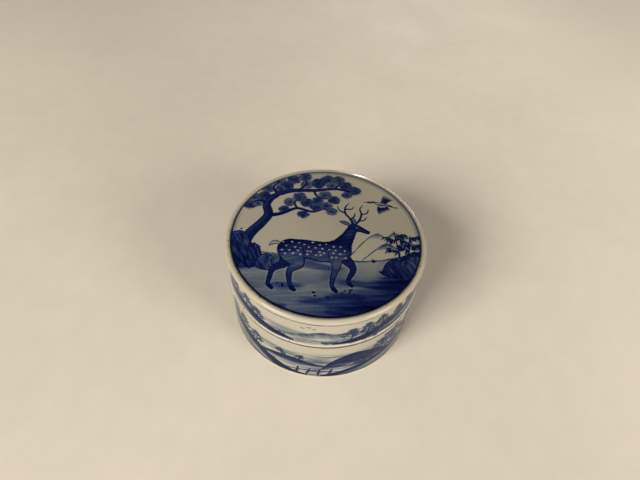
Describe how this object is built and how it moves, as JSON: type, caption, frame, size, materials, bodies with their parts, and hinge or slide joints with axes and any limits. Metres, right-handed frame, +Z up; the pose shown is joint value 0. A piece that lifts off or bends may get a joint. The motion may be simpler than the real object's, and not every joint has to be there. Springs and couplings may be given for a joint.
{
  "type": "trinket box",
  "caption": "Round blue-and-white porcelain trinket box with straight walls, a flat-topped lift-off lid and an inner flange that keeps the lid in place.",
  "frame": {"origin": "centre of the foot ring, on the surface that the box stands on", "axes": "+Z up along the axis of the pot, -Y towards the side that the picture shows"},
  "size_m": [0.0912, 0.0912, 0.05],
  "materials": {
    "box_porcelain": "clear glaze over white porcelain with cobalt blue painting, bare at the foot ring and the rim",
    "lid_porcelain": "clear glaze over white porcelain with cobalt blue painting, bare at the lip"
  },
  "bodies": {
    "box": {"box": "box_porcelain"},
    "lid": {"lid": "lid_porcelain"}
  },
  "joints": [
    {"name": "lid_lift", "type": "slide", "parent": "box", "child": "lid", "axis": [0, 0, 1], "range_m": [0, 0.06]}
  ]
}
